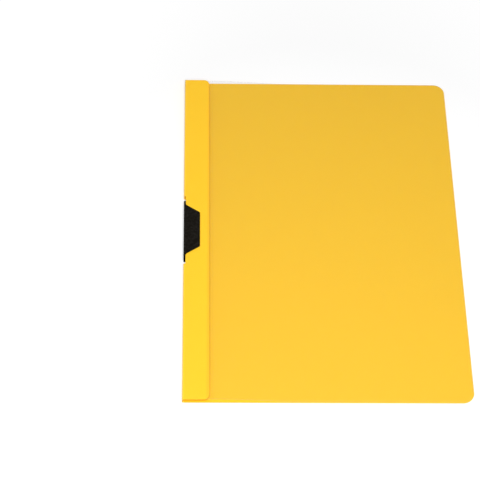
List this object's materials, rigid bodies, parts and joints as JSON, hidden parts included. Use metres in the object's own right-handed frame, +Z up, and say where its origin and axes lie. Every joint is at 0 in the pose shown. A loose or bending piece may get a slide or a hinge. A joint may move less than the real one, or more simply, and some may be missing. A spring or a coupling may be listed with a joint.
{
  "type": "clip folder",
  "caption": "Slim page folder: creased plastic back with a narrow front strip, a clear film front cover and a spring clip that slides over the spine to grip loose pages.",
  "frame": {"origin": "centre of the bounding box at its lowest level, the underside of the clip's rear leg", "axes": "+Z up from the surface the folder lies on, +X from the spine to the opening edge, +Y along the page height"},
  "size_m": [0.22, 0.31, 0.0064],
  "materials": {
    "yellow_plastic": "satin, finely grained",
    "clear_film": "clear, smooth",
    "black_enamel": "satin black enamel on spring steel"
  },
  "bodies": {
    "folder": {"cover_sheet": "yellow_plastic", "film_margin": "clear_film"},
    "cover": {"front_cover": "clear_film"},
    "clip": {"spring_clip": "black_enamel"}
  },
  "joints": [
    {"name": "cover_hinge", "type": "hinge", "parent": "folder", "child": "cover", "pos_m": [-0.087, 0, 0.0053], "axis": [0, -1, 0], "range_deg": [0, 160]},
    {"name": "clip_slide", "type": "slide", "parent": "folder", "child": "clip", "axis": [-1, 0, 0], "range_m": [0, 0.01]}
  ]
}
